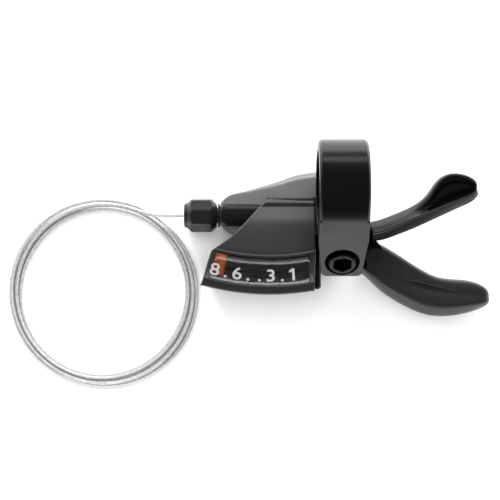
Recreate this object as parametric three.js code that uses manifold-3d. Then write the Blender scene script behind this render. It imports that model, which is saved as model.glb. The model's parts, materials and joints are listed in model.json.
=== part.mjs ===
// Right-hand trigger shifter of a bicycle, clamped on the handlebar beside the grip.
// Millimetres, +Z up along the main axle, +X along the handlebar towards the grip, +Y away from the rider.
// The origin is the foot of the main axle on the flat underside.
import * as THREE from 'three';
import { mergeVertices } from 'three/addons/utils/BufferGeometryUtils.js';
import Module from 'manifold-3d';

const wasm = await Module();
wasm.setup();

// Driving dimensions
const GAP = 0.3; // clearance between neighbouring pieces
const BAR_RADIUS = 11.1; // the 22.2 mm handlebar
const BAND = { y: 3.8, z: 31, outer: 14.1, left: -4.8, right: 9.5, footBottom: 16.3 };
const LUG = { length: 21.7, taperFrom: 8, taper: 1.2, bottom: -1, slotLow: 6.5, slotHigh: 8 };
const BOLT = { along: 16, shaft: 2.3, head: 4, foot: 0, seat: 11.3, top: 15, recess: 4.9, socket: 2.9 };
const INSERT = { outer: 3.2, bottom: -0.7, top: 6.2 };
const CASE = { floor: 3.3, top: 16, low: 10.5, left: -33, round: 10.5, wall: 1.5, cavity: 9.6, crown: 8.6, ceiling: 15 };
const LOWER_COVER_TOP = 3;
const AXLE = { radius: 2.5, bore: 2.8, foot: 3.6, top: 14.85 };
const SPOOL = { bottom: 4.2, top: 7.2, flange: 8.9, groove: 6.95, hub: 3.4, hollow: 5.9, cable: 7.5 };
const RATCHET = { bottom: 7.5, top: 8.5, tip: 6.2, root: 5.2, teeth: 16 };
const MAIN_PLATE = { bottom: 8.9, top: 10.1, hub: 6.4 };
const RELEASE_PLATE = { bottom: 10.5, top: 11.7, hub: 6.4 };
const BASE_PLATE = { bottom: 12.2, top: 13.8, round: 8.6, ear: 1.7 };
const LEVER_MOUTH = { bottom: 8.5, top: 12.1, from: -86, to: 25 }; // degrees round the axle
const PAWL = { pin: 0.7, hole: 1, eye: 1.35, nose: 6.55 };
const DRIVE_PAWL = { radius: 7.9, angle: 215, noseAngle: 247 };
const HOLD_PAWL = { radius: 8.2, angle: 140, noseAngle: 105 };
const DIAL = { x: -18.3, y: 48, topR: 63.2, topZ: 24, lowR: 72.6, lowZ: 17.5, chinR: 75.2 };
const POINTER = { angle: -103.7, halfWidth: 1.6 }; // degrees round the dial's centre, at the highest gear
const HOOD = { bottom: 12, wall: 1.3 };
const BOSS_TOP = 10.4;
const PLINTH = { top: 11.7, inset: 1.5, wall: 1.5, ceiling: 10.2 };
const CABLE = { radius: 0.55, y: -3.4, z: 5.7 };
const KNOB = { radius: 5.15, left: -44.2, right: -34.2, nose: 3.8, bore: 0.9, sides: 8 };
const STEM = { radius: 2.4, left: -40, right: -24 };
const COIL = { x: -69, y: -26.9, radius: 27, half: 1.75, height: 3.3, meets: 84 }; // degrees
const CLAMP_SCREWS = [[5.4, 3.4], [-1, 6.3]];
const COVER_SCREWS = [[-17, 2.4], [-28, -17.5], [-9, -21.5]];
const MAIN_PAD = { bottom: 2, top: 11.5, chamfer: 2.6, screw: [18.5, -21.5] };
const RELEASE_PAD = { bottom: 12, top: 19.2, chamfer: 2, rivet: [13, -8.2] };

const deg = THREE.MathUtils.degToRad;
const v2 = (x, y) => new THREE.Vector2(x, y);
const v3 = (x, y, z) => new THREE.Vector3(x, y, z);
const polar = (radius, degrees) => [radius * Math.cos(deg(degrees)), radius * Math.sin(deg(degrees))];

// Finishes
const finish = (color, roughness, metalness = 0) =>
  new THREE.MeshStandardMaterial({ color, roughness, metalness });
const blackPlastic = finish(0x17181a, 0.5);
const greyPlastic = finish(0x4a4b4d, 0.45);
const anodised = finish(0x101113, 0.3, 0.9);
const steel = finish(0x8d9194, 0.4, 1);
const cableSteel = finish(0xb4b6b8, 0.35, 1);
const orangePlastic = finish(0xc8601e, 0.5);
const clearPlastic = finish(0x20242a, 0.08);

// A closed geometry as a manifold-3d solid.
function solid(geometry) {
  const bare = geometry.index ? geometry.toNonIndexed() : geometry.clone();
  bare.deleteAttribute('normal');
  bare.deleteAttribute('uv');
  const merged = mergeVertices(bare, 1e-4);
  const index = merged.index.array;
  const faces = [];
  for (let i = 0; i < index.length; i += 3) {
    const [a, b, c] = [index[i], index[i + 1], index[i + 2]];
    if (a !== b && b !== c && c !== a) faces.push(a, b, c);
  }
  const build = (corners) => new wasm.Manifold(new wasm.Mesh({
    numProp: 3,
    vertProperties: merged.attributes.position.array,
    triVerts: new Uint32Array(corners),
  }));
  const made = build(faces);
  return made.volume() < 0 ? build(faces.slice().reverse()) : made;
}

const join = (first, ...rest) => rest.reduce((sum, next) => sum.add(next), first);
const cut = (first, ...rest) => rest.reduce((left, next) => left.subtract(next), first);

const shifter = new THREE.Group();

// Adds a finished solid to the assembly as a named mesh.
function piece(name, body, material) {
  const mesh = body.getMesh();
  const geometry = new THREE.BufferGeometry();
  geometry.setAttribute('position', new THREE.BufferAttribute(mesh.vertProperties, 3));
  geometry.setIndex(new THREE.BufferAttribute(mesh.triVerts, 1));
  geometry.computeVertexNormals();
  const made = new THREE.Mesh(geometry, material);
  made.name = name;
  shifter.add(made);
}

// ---------------------------------------------------------------- basic solids
const asShape = (outline) =>
  (outline instanceof THREE.Shape ? outline : new THREE.Shape(outline.map(([x, y]) => v2(x, y))));

// The corners of a drawn shape, without two that nearly coincide.
function corners(shape, divisions) {
  const points = shape.getPoints(divisions);
  return new THREE.Shape(points.filter((p, i) => p.distanceTo(points[(i + 1) % points.length]) > 0.1));
}

// An upright prism over an outline.
function prism(outline, bottom, top) {
  const options = { depth: top - bottom, bevelEnabled: false, curveSegments: 12 };
  return solid(new THREE.ExtrudeGeometry(asShape(outline), options).translate(0, 0, bottom));
}

// A prism whose outline steps inwards by `inset` at each [height, inset] layer.
function layered(outline, layers) {
  const points = asShape(outline).getPoints(12);
  if (THREE.ShapeUtils.isClockWise(points)) points.reverse();
  const count = points.length;
  const inwards = points.map((p, i) => {
    const before = p.clone().sub(points[(i + count - 1) % count]).normalize();
    const after = points[(i + 1) % count].clone().sub(p).normalize();
    const middle = v2(-before.y - after.y, before.x + after.x).normalize();
    return middle.divideScalar(Math.max(0.5, middle.dot(v2(-after.y, after.x))));
  });
  const positions = layers.flatMap(([height, inset]) =>
    points.flatMap((p, i) => [p.x + inwards[i].x * inset, p.y + inwards[i].y * inset, height]));
  const cap = THREE.ShapeUtils.triangulateShape(points, []);
  const last = (layers.length - 1) * count;
  const faces = cap.flatMap(([a, b, c]) => [c, b, a, last + a, last + b, last + c]);
  for (let layer = 0; layer < last; layer += count) {
    for (let i = 0; i < count; i += 1) {
      const next = layer + ((i + 1) % count);
      faces.push(layer + i, next, next + count, layer + i, next + count, layer + i + count);
    }
  }
  const geometry = new THREE.BufferGeometry();
  geometry.setAttribute('position', new THREE.Float32BufferAttribute(positions, 3));
  return solid(geometry.setIndex(faces));
}

function box(low, high) {
  const size = high.map((h, i) => h - low[i]);
  const middle = high.map((h, i) => (h + low[i]) / 2);
  return solid(new THREE.BoxGeometry(...size).translate(...middle));
}

const disc = (radius, bottom, top, [x, y] = [0, 0], segments = 24) =>
  solid(new THREE.CylinderGeometry(radius, radius, top - bottom, segments)
    .rotateX(Math.PI / 2).translate(x, y, (top + bottom) / 2));

// A profile of [radius, height] turned into a ring or a rod, still upright along Y.
function lathe(profile, segments) {
  const points = profile.map(([radius, height]) => v2(radius, height));
  if (profile[0][0] > 0) points.push(points[0].clone());
  return new THREE.LatheGeometry(points, segments);
}

const turned = (profile, [x, y] = [0, 0], segments = 24) =>
  solid(lathe(profile, segments).rotateX(Math.PI / 2).translate(x, y, 0));
const turnedAlongX = (profile, y, z, segments = 28) =>
  solid(lathe(profile, segments).rotateZ(-Math.PI / 2).translate(0, y, z));

// A profile of [y, z] carried along X.
function across(profile, left, right) {
  const basis = new THREE.Matrix4().makeBasis(v3(0, 1, 0), v3(0, 0, 1), v3(1, 0, 0)).setPosition(left, 0, 0);
  const options = { depth: right - left, bevelEnabled: false };
  return solid(new THREE.ExtrudeGeometry(asShape(profile), options).applyMatrix4(basis));
}

// A profile of [x, z] carried along Y.
function along(profile, near, far) {
  const basis = new THREE.Matrix4().makeBasis(v3(1, 0, 0), v3(0, 0, 1), v3(0, 1, 0)).setPosition(0, near, 0);
  const options = { depth: far - near, bevelEnabled: false };
  return solid(new THREE.ExtrudeGeometry(asShape(profile), options).applyMatrix4(basis));
}

// A fan from one upright axis, between two angles in degrees.
function wedge(from, to, reach, bottom, top, [x, y] = [0, 0]) {
  const steps = Math.max(1, Math.ceil((to - from) / 30));
  const rim = Array.from({ length: steps + 1 }, (_, i) => polar(reach, from + ((to - from) * i) / steps));
  return prism([[x, y], ...rim.map(([dx, dy]) => [x + dx, y + dy])], bottom, top);
}

// A round wire along a curve.
function wire(curve, radius, steps, sides = 8) {
  const section = new THREE.Shape();
  section.absarc(0, 0, radius, 0, 2 * Math.PI);
  const options = { steps, extrudePath: curve, curveSegments: sides / 2, bevelEnabled: false };
  return solid(new THREE.ExtrudeGeometry(section, options));
}

// ---------------------------------------------------------------- case
// The outline of the upper case, seen from above; `grow` moves it outwards.
function caseOutline(grow = 0) {
  const left = CASE.left - grow;
  const shape = new THREE.Shape();
  shape.moveTo(left, 0.3 + grow);
  const ridge = [[-30.3, 2.6], [-24.5, 4.1], [-15.7, 6.7], [-10.1, 8.6], [-4.4, 9.53]];
  shape.splineThru(ridge.map(([x, y]) => v2(x, y + grow)));
  shape.absarc(0, 0, CASE.round + grow, deg(114.8), deg(-100), true);
  shape.lineTo(-20, -10.4 - grow);
  shape.lineTo(-28, -9.8 - grow);
  shape.lineTo(-31.5, -8.3 - grow);
  shape.lineTo(left, -6.6 - grow);
  return corners(shape, 9);
}

// The hood's footprint: a fan whose long edge is concentric with the dial.
function hoodOutline(inset = 0) {
  const radius = DIAL.chinR - inset;
  const chin = (x) => DIAL.y - Math.sqrt(radius ** 2 - (x - DIAL.x) ** 2);
  const left = -38.7 + inset * 1.1;
  const right = -4 - inset;
  const curve = Array.from({ length: 11 }, (_, i) => left + 1 + ((right - left - 1) * i) / 10);
  return [
    [-18.9 + inset * 0.5, 1.5 - inset],
    [-29 + inset * 0.6, -9.55 - inset * 0.5],
    [-35.7 + inset * 0.9, -14.2 - inset * 0.2],
    [left, chin(left) + 1],
    ...curve.map((x) => [x, chin(x)]),
    [-4.2 - inset, -21.4],
    [-5.3 - inset, -12],
    [-5.3 - inset, 1.5 - inset],
  ];
}

// The hood's solid, or the hollow `depth` inside its skin.
function hoodBody(depth = 0) {
  const foot = depth > 0 ? HOOD.bottom - 1 : HOOD.bottom;
  const back = across([[1.5 - depth, foot], [1.5 - depth, 16.2], [0.9 - depth, 18.2 - depth],
    [-1, 19.5 - depth], [-3.5, 21.4 - depth], [-6.5, 23.6 - depth], [-9, 24.2 - depth],
    [-45, 24.2 - depth], [-45, foot]], -50, 0);
  const sloping = depth * 1.2;
  const face = turned([[30, foot], [DIAL.chinR - depth, foot], [DIAL.chinR - depth, 13.2],
    [DIAL.lowR + 0.9 - depth, DIAL.lowZ - 0.3 - sloping], [DIAL.lowR, DIAL.lowZ - sloping],
    [DIAL.topR, DIAL.topZ - sloping], [DIAL.topR - 1.5, 24.2 - depth], [30, 24.2 - depth]],
  [DIAL.x, DIAL.y], 180);
  return back.intersect(face).intersect(prism(hoodOutline(depth), foot, 30));
}

// A conical strip under the dial's face: `from` and `to` run down the slope from its upper edge,
// `low` and `high` are its depths measured square to the face, and `inset` keeps it off the hood's edge.
function dialStrip(from, to, low, high, inset) {
  const slope = Math.hypot(DIAL.lowR - DIAL.topR, DIAL.topZ - DIAL.lowZ);
  const down = [(DIAL.lowR - DIAL.topR) / slope, (DIAL.lowZ - DIAL.topZ) / slope];
  const point = (t, m) => [DIAL.topR + t * down[0] - m * down[1], DIAL.topZ + t * down[1] + m * down[0]];
  const section = [point(from, low), point(to, low), point(to, high), point(from, high)];
  const strip = turned(section, [DIAL.x, DIAL.y], 180);
  return strip.intersect(prism(hoodOutline(inset), 5, 35));
}

const caseHull = (grow = 0) => {
  const top = CASE.top + grow;
  const hull = layered(caseOutline(grow), [[CASE.floor, 0], [top - 5, 0], [top, 1.6]]);
  const slope = along([[-36, 0], [14, 0], [14, CASE.top + grow], [-9, CASE.top + grow],
    [-34, CASE.low + grow]], -15, 15);
  return hull.intersect(slope);
};

function upperCase() {
  const plinth = prism(hoodOutline(PLINTH.inset), CASE.floor, PLINTH.top);
  const caseHollow = prism(caseOutline(-CASE.wall), CASE.floor - 1, 8.6)
    .intersect(box([-40, -15, 0], [0, 15, 20]));
  const plinthHollow = prism(hoodOutline(PLINTH.inset + PLINTH.wall), CASE.floor - 1, PLINTH.ceiling)
    .intersect(box([-50, -40, 0], [0, -12, 20]));
  const shell = cut(join(caseHull(), plinth), caseHollow, plinthHollow);
  const bosses = COVER_SCREWS.map((at) => disc(2.5, CASE.floor, BOSS_TOP, at, 16));
  const holes = COVER_SCREWS.map((at) => disc(1.5, CASE.floor - 1, 8.2, at, 16));
  return cut(
    join(shell, ...bosses),
    turned([[0, CASE.floor - 1], [CASE.cavity, CASE.floor - 1], [CASE.cavity, 12],
      [CASE.crown, CASE.ceiling], [0, CASE.ceiling]], [0, 0], 32),
    disc(BASE_PLATE.ear + GAP, 8.6, CASE.ceiling - 0.5, polar(HOLD_PAWL.radius, HOLD_PAWL.angle), 20),
    wedge(LEVER_MOUTH.from, LEVER_MOUTH.to, 20, LEVER_MOUTH.bottom, LEVER_MOUTH.top),
    turnedAlongX([[0, CASE.left - 1], [3.7, CASE.left - 1], [3.7, -24], [0, -24]], CABLE.y, CABLE.z, 24),
    ...holes,
    ...CLAMP_SCREWS.map((at) => disc(1.6, CASE.ceiling - 1, CASE.top + 1, at, 16)),
  );
}
piece('upper_case', upperCase(), greyPlastic);

function lowerCover() {
  const plate = join(
    prism(caseOutline(), 0, LOWER_COVER_TOP),
    prism(hoodOutline(PLINTH.inset), 0, LOWER_COVER_TOP),
  );
  return cut(
    plate,
    turnedAlongX([[0, CASE.left - 1], [3.7, CASE.left - 1], [3.7, -24], [0, -24]], CABLE.y, CABLE.z, 24),
    ...COVER_SCREWS.map((at) => disc(1.5, -1, LOWER_COVER_TOP + 1, at, 16)),
    ...COVER_SCREWS.map((at) => disc(2.5, -1, 1.7, at, 16)),
  );
}
piece('lower_cover', lowerCover(), blackPlastic);
COVER_SCREWS.forEach((at, i) => {
  const screw = cut(join(disc(2.2, 0.3, 1.4, at, 16), disc(1.2, 1.2, 7.8, at, 16)), disc(0.9, 0, 0.9, at, 6));
  piece(`cover_screw_${i + 1}`, screw, steel);
});

// ---------------------------------------------------------------- display
const hoodShell = cut(hoodBody(), hoodBody(HOOD.wall), dialStrip(0.9, 10.4, -2, 2, 1.6), caseHull(0.35));
piece('display_cover', hoodShell, blackPlastic);
piece('display_lens', dialStrip(1.2, 10.1, -1.1, -0.1, 1.9), clearPlastic);
piece('dial_plate', dialStrip(0.7, 10.6, -4.3, -3.6, 1.8), blackPlastic);
piece('pointer_rail', dialStrip(8.4, 9.9, -3.2, -2.6, 1.8), blackPlastic);
const dialCentre = [DIAL.x, DIAL.y];
const atPointer = (half) => wedge(POINTER.angle - half, POINTER.angle + half, 90, 5, 35, dialCentre);
piece('pointer', dialStrip(1, 9.9, -2.3, -1.7, 1.8).intersect(atPointer(POINTER.halfWidth)), orangePlastic);
piece('pointer_carriage', dialStrip(2.5, 8, -3.2, -2.6, 1.8).intersect(atPointer(1.1)), blackPlastic);

// ---------------------------------------------------------------- handlebar clamp
// Lug coordinates: X across, the normal of its outer face, and the way it reaches down.
const lugFrame = new THREE.Matrix4()
  .makeBasis(v3(1, 0, 0), v3(0, -Math.SQRT1_2, Math.SQRT1_2), v3(0, -Math.SQRT1_2, -Math.SQRT1_2))
  .setPosition(0, BAND.y, BAND.z);
const boltX = (BAND.left + BAND.right) / 2;
const onLug = (geometry) => solid(geometry.applyMatrix4(lugFrame));
const onBolt = (profile, segments = 24) => onLug(lathe(profile, segments).translate(boltX, 0, BOLT.along));
const lugBox = (low, high) => onLug(new THREE.BoxGeometry(...high.map((h, i) => h - low[i]))
  .translate(...high.map((h, i) => (h + low[i]) / 2)));

function lug() {
  const corner = 0.9;
  const { left, right, outer } = BAND;
  const outline = [[left, 0], [left, LUG.taperFrom], [left + LUG.taper, LUG.length - corner],
    [left + LUG.taper + corner, LUG.length], [right - LUG.taper - corner, LUG.length],
    [right - LUG.taper, LUG.length - corner], [right, LUG.taperFrom], [right, 0]];
  const depth = outer - LUG.bottom;
  const geometry = new THREE.ExtrudeGeometry(asShape(outline), { depth, bevelEnabled: false });
  const upright = new THREE.Matrix4().makeBasis(v3(1, 0, 0), v3(0, 0, 1), v3(0, 1, 0));
  upright.setPosition(0, LUG.bottom, 0);
  return onLug(geometry.applyMatrix4(upright));
}

function clampBand() {
  const { left, right, outer } = BAND;
  const edge = 0.8;
  const ring = turnedAlongX([[0, left], [outer - edge, left], [outer, left + edge], [outer, right - edge],
    [outer - edge, right], [0, right]], BAND.y, BAND.z, 56);
  const foot = box([-2.9, -1.4, BAND.footBottom], [7.7, 9, 20]);
  return cut(
    join(ring, lug(), foot),
    turnedAlongX([[0, left - 5], [BAR_RADIUS, left - 5], [BAR_RADIUS, right + 5], [0, right + 5]],
      BAND.y, BAND.z, 56),
    lugBox([left - 5, LUG.slotLow, 6], [right + 5, LUG.slotHigh, 30]),
    onBolt([[0, LUG.slotHigh - 1], [2.6, LUG.slotHigh - 1], [2.6, 11], [BOLT.recess, 11],
      [BOLT.recess, 20], [0, 20]]),
    onBolt([[0, -5], [INSERT.outer + GAP, -5], [INSERT.outer + GAP, LUG.slotLow + 0.5],
      [0, LUG.slotLow + 0.5]]),
    ...CLAMP_SCREWS.map((at) => disc(1.6, 10, 19.1, at, 16)),
  );
}
piece('clamp_band', clampBand(), anodised);
piece('clamp_bolt', cut(
  onBolt([[0, BOLT.foot], [BOLT.shaft, BOLT.foot], [BOLT.shaft, BOLT.seat], [BOLT.head, BOLT.seat],
    [BOLT.head, BOLT.top - 0.4], [BOLT.head - 0.4, BOLT.top], [0, BOLT.top]]),
  onBolt([[0, BOLT.top - 2.6], [BOLT.socket, BOLT.top - 2.6], [BOLT.socket, BOLT.top + 1],
    [0, BOLT.top + 1]], 6),
), steel);
piece('clamp_insert', onBolt([[BOLT.shaft + GAP, INSERT.bottom], [INSERT.outer, INSERT.bottom],
  [INSERT.outer, INSERT.top], [BOLT.shaft + GAP, INSERT.top]]), steel);
CLAMP_SCREWS.forEach((at, i) => {
  piece(`clamp_screw_${i + 1}`, join(disc(1.7, 12.3, 13, at, 16), disc(1.3, 12.8, 18.8, at, 16)), steel);
});

// ---------------------------------------------------------------- axle and base plate
piece('main_axle', turned([[0, CASE.floor], [AXLE.foot, CASE.floor], [AXLE.foot, 3.9], [AXLE.radius, 3.9],
  [AXLE.radius, AXLE.top], [0, AXLE.top]]), steel);
piece('axle_clip', cut(disc(4.2, 14.1, 14.7), disc(AXLE.bore, 13, 16), wedge(-20, 20, 9, 13, 16)), steel);
const holdPin = polar(HOLD_PAWL.radius, HOLD_PAWL.angle);
piece('base_plate', cut(
  join(disc(BASE_PLATE.round, BASE_PLATE.bottom, BASE_PLATE.top, [0, 0], 36),
    disc(BASE_PLATE.ear, BASE_PLATE.bottom, BASE_PLATE.top, holdPin, 20)),
  disc(AXLE.bore, 11, 15),
  disc(PAWL.hole, 11, 15, holdPin, 12),
  ...CLAMP_SCREWS.map((at) => disc(1.6, 11, 15, at, 16)),
  ...CLAMP_SCREWS.map((at) => disc(2, 11, 13.3, at, 16)),
), steel);

// ---------------------------------------------------------------- cable spool and ratchet
const nipple = polar(7.6, -78);
piece('cable_spool', cut(
  turned([[AXLE.bore, SPOOL.bottom], [SPOOL.hub, SPOOL.bottom], [SPOOL.hub, 6.4], [SPOOL.hollow, 6.4],
    [SPOOL.hollow, SPOOL.bottom], [SPOOL.flange, SPOOL.bottom], [SPOOL.flange, 4.8], [SPOOL.groove, 5.1],
    [SPOOL.groove, 6.3], [SPOOL.flange, 6.6], [SPOOL.flange, SPOOL.top], [AXLE.bore, SPOOL.top]], [0, 0], 28),
  disc(1.4, 4.5, 6.9, nipple, 16),
), greyPlastic);
piece('cable_nipple', disc(1.1, 4.8, 6.6, nipple, 16), steel);

// Saw teeth: each rises slowly from its root and drops steeply.
const sawTeeth = Array.from({ length: RATCHET.teeth }, (_, i) => (i * 360) / RATCHET.teeth)
  .flatMap((a) => [polar(RATCHET.root, a), polar(RATCHET.tip, a + 17), polar(RATCHET.tip, a + 20)]);
piece('ratchet_wheel', cut(prism(sawTeeth, RATCHET.bottom, RATCHET.top), disc(AXLE.bore, 7, 9)), steel);

// A flat spiral of spring strip in the spool's hollow.
function spiral(start, pitch, turns, thickness) {
  const steps = turns * 20;
  const side = (offset) => Array.from({ length: steps + 1 }, (_, i) =>
    polar(start + (pitch * i) / 20 + offset, (i * 360) / 20));
  return prism([...side(0), ...side(thickness).reverse()], 4.4, 6);
}
piece('spool_spring', spiral(3.75, 0.62, 2.5, 0.25), steel);

function pawl({ radius, angle, noseAngle }) {
  const pivot = polar(radius, angle);
  const back = Math.sign(angle - noseAngle);
  const blade = prism([polar(PAWL.nose, noseAngle), polar(PAWL.nose + 1.1, noseAngle),
    polar(radius + 0.9, angle - back * 8), polar(radius + 0.9, angle), polar(radius - 0.9, angle + back * 2),
    polar(PAWL.nose + 0.15, angle - back * 14)], RATCHET.bottom, RATCHET.top);
  return cut(
    join(disc(PAWL.eye, RATCHET.bottom, RATCHET.top, pivot, 16), blade),
    disc(PAWL.hole, 7, 9, pivot, 12),
    disc(RATCHET.tip + GAP, 7, 9, [0, 0], 48),
  );
}
piece('drive_pawl', pawl(DRIVE_PAWL), steel);
piece('hold_pawl', pawl(HOLD_PAWL), steel);
piece('hold_pawl_pin', disc(PAWL.pin, 7.6, 13.7, holdPin, 12), steel);
const drivePin = polar(DRIVE_PAWL.radius, DRIVE_PAWL.angle);
piece('drive_pawl_pin', disc(PAWL.pin, 7.6, 10.2, drivePin, 12), steel);

// ---------------------------------------------------------------- main lever
const mainArm = (grow) => [[1, 5.5 + grow], [-1.5 - grow, -5.4], [9.5 - grow, -19 - grow],
  [17.5, -25.2 - grow], [22.6 + grow, -22.6], [14.5, -12 + grow], [5.8 + grow, 1]];
piece('main_lever_plate', cut(
  join(disc(MAIN_PLATE.hub, MAIN_PLATE.bottom, MAIN_PLATE.top, [0, 0], 36),
    disc(PAWL.eye, MAIN_PLATE.bottom, MAIN_PLATE.top, drivePin, 16),
    wedge(DRIVE_PAWL.angle - 9, DRIVE_PAWL.angle + 9, 8, MAIN_PLATE.bottom, MAIN_PLATE.top),
    prism(mainArm(0), MAIN_PLATE.bottom, MAIN_PLATE.top)),
  disc(AXLE.bore, 8, 11),
  disc(PAWL.hole, 8, 11, drivePin, 12),
  disc(1.4, 8, 11, MAIN_PAD.screw, 12),
), steel);

function mainPad() {
  const shape = new THREE.Shape();
  shape.moveTo(10, -21.3);
  shape.splineThru([[14.7, -25.8], [23.7, -31.5], [34, -34.3], [44.4, -32.4], [47.8, -28.4], [44.4, -24],
    [37.5, -23], [30.6, -21.6], [18.5, -14.2], [13.8, -11.4]].map(([x, y]) => v2(x, y)));
  const { bottom, top, chamfer } = MAIN_PAD;
  const body = layered(corners(shape, 3), [[bottom, 1.8], [bottom + 1.6, 0], [top - chamfer, 0], [top, 2.4]]);
  return cut(body,
    prism(mainArm(GAP), MAIN_PLATE.bottom - GAP, MAIN_PLATE.top + GAP),
    disc(1.4, 3.5, 10.7, MAIN_PAD.screw, 12),
    disc(2.2, 1, 3.6, MAIN_PAD.screw, 16));
}
piece('main_lever_pad', mainPad(), blackPlastic);
piece('main_lever_screw', join(
  disc(1.9, 2.3, 3.3, MAIN_PAD.screw, 16),
  disc(1.1, 3.1, 10.3, MAIN_PAD.screw, 12),
), steel);

// ---------------------------------------------------------------- release lever
piece('release_lever_plate', cut(
  join(disc(RELEASE_PLATE.hub, RELEASE_PLATE.bottom, RELEASE_PLATE.top, [0, 0], 36),
    prism([[5, -1.5], [1, -6.2], [11.5, -11], [14.4, -10.5], [15.4, -8.2], [14.9, -6.2], [10.5, -6.1]],
      RELEASE_PLATE.bottom, RELEASE_PLATE.top)),
  disc(AXLE.bore, 10, 12),
  disc(1.4, 10, 12, RELEASE_PAD.rivet, 12),
), steel);

function releasePad() {
  const shape = new THREE.Shape();
  shape.moveTo(11, -5.9);
  shape.splineThru([[17.6, -3.7], [26.7, 0.7], [30.1, 5.5], [34.5, 8.7], [38.6, 8.4], [42.6, 5.8], [42.6, 1.7],
    [37.9, -1.3], [26.1, -6.8], [13.4, -11.2]].map(([x, y]) => v2(x, y)));
  const { bottom, top, chamfer } = RELEASE_PAD;
  const body = layered(corners(shape, 3), [[bottom, 1], [bottom + 1, 0], [top - chamfer, 0], [top, 1.2]]);
  return cut(body, disc(1.4, 11, 14, RELEASE_PAD.rivet, 12));
}
piece('release_lever_pad', releasePad(), blackPlastic);
piece('release_lever_rivet', disc(1.1, 10.6, 13.7, RELEASE_PAD.rivet, 12), steel);

// ---------------------------------------------------------------- barrel adjuster
const onCable = (profile, segments = 24) => turnedAlongX(profile, CABLE.y, CABLE.z, segments);
piece('adjuster_knob', cut(
  onCable([[0, KNOB.left], [KNOB.nose, KNOB.left], [KNOB.nose, -42.7], [KNOB.radius, -41.6],
    [KNOB.radius, -35.4], [4.3, KNOB.right], [0, KNOB.right]], KNOB.sides),
  onCable([[0, -50], [KNOB.bore, -50], [KNOB.bore, -40.5], [STEM.radius + GAP, -40.3],
    [STEM.radius + GAP, -30], [0, -30]]),
), blackPlastic);
const tube = (inner, outer, left, right) => onCable(
  [[inner, left], [outer, left], [outer, right], [inner, right]],
);
piece('adjuster_stem', tube(KNOB.bore, STEM.radius, STEM.left, STEM.right), blackPlastic);
piece('adjuster_collar', tube(STEM.radius + GAP, 3.6, -33.9, -33.3), steel);
piece('adjuster_bush', tube(STEM.radius + GAP, 3.4, -33, -24.4), steel);

// ---------------------------------------------------------------- shift cable
const cableStart = KNOB.left - GAP;
const innerRun = new THREE.CatmullRomCurve3([
  v3(cableStart + GAP, CABLE.y, CABLE.z),
  v3(-32, CABLE.y, CABLE.z),
  v3(-25, CABLE.y, CABLE.z),
  v3(-14, -4.9, CABLE.z),
  v3(-0.9, -SPOOL.cable - 0.02, CABLE.z),
], false, 'centripetal');
piece('cable_inner_run', wire(innerRun, CABLE.radius, 18), cableSteel);

const coilPoint = (angle, z) => {
  const [dx, dy] = polar(COIL.radius, angle);
  return v3(COIL.x + dx, COIL.y + dy, z);
};
const onCoil = COIL.height + GAP + CABLE.radius;
const lead = new THREE.CatmullRomCurve3([
  v3(cableStart, CABLE.y, CABLE.z),
  v3(-50, CABLE.y, CABLE.z),
  v3(-57, -2.2, 5.1),
  coilPoint(COIL.meets - 4, onCoil + 0.1),
  coilPoint(COIL.meets + 6, onCoil),
], false, 'centripetal');
piece('cable_lead', wire(lead, CABLE.radius, 14), cableSteel);
piece('cable_coil', turned([[COIL.radius - COIL.half, 0.8], [COIL.radius - 0.9, 0], [COIL.radius + 0.9, 0],
  [COIL.radius + COIL.half, 0.8], [COIL.radius + COIL.half, COIL.height - 0.8],
  [COIL.radius + 0.9, COIL.height], [COIL.radius - 0.9, COIL.height],
  [COIL.radius - COIL.half, COIL.height - 0.8]], [COIL.x, COIL.y], 44), cableSteel);

export default shifter;
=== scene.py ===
import json
import math

import bmesh
import bpy
from mathutils import Matrix, Vector


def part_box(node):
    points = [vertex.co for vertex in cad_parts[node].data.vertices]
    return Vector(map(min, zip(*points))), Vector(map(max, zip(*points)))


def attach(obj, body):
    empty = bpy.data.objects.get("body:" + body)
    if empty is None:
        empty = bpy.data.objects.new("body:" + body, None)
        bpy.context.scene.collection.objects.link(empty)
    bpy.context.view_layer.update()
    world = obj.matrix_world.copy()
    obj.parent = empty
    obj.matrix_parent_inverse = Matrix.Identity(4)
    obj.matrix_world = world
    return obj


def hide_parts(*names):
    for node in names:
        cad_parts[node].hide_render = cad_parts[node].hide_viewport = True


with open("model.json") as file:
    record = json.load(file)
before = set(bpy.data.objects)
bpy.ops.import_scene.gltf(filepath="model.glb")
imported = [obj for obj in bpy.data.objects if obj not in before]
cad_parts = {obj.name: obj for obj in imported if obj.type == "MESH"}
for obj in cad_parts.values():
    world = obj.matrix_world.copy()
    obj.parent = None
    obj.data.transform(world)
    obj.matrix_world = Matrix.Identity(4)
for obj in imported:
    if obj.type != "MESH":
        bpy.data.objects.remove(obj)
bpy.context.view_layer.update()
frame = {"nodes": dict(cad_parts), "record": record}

MM = 0.001

# ---------------------------------------------------------------- studio
# The shifter lies on a white table under a camera that looks straight down on it. A broad lamp
# behind it lights what slopes away, and two low softboxes draw the highlights on its edges.
FLOOR = {"white": "F4F4F4", "roughness": 0.9, "half": 3000, "drop": 0.02}
CAMERA = {"place": (-24.2, -13.9, 450), "sensor": 36, "lens": 105.26}
ROOM_LIGHT = 0.12
LAMPS = [
    # name, place, aim, size, power, whether gloss mirrors it
    ("overhead", (-20, -10, 560), (-20, -10, 0), (760, 760), 5.0, False),
    ("far_fill", (0, 500, 230), (0, 0, 10), (600, 200), 9.0, False),
    ("far_strip", (0, 460, 210), (0, 0, 15), (620, 70), 0.6, True),
    ("rider_strip", (-20, -460, 30), (0, 0, 20), (640, 110), 0.9, True),
]


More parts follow.
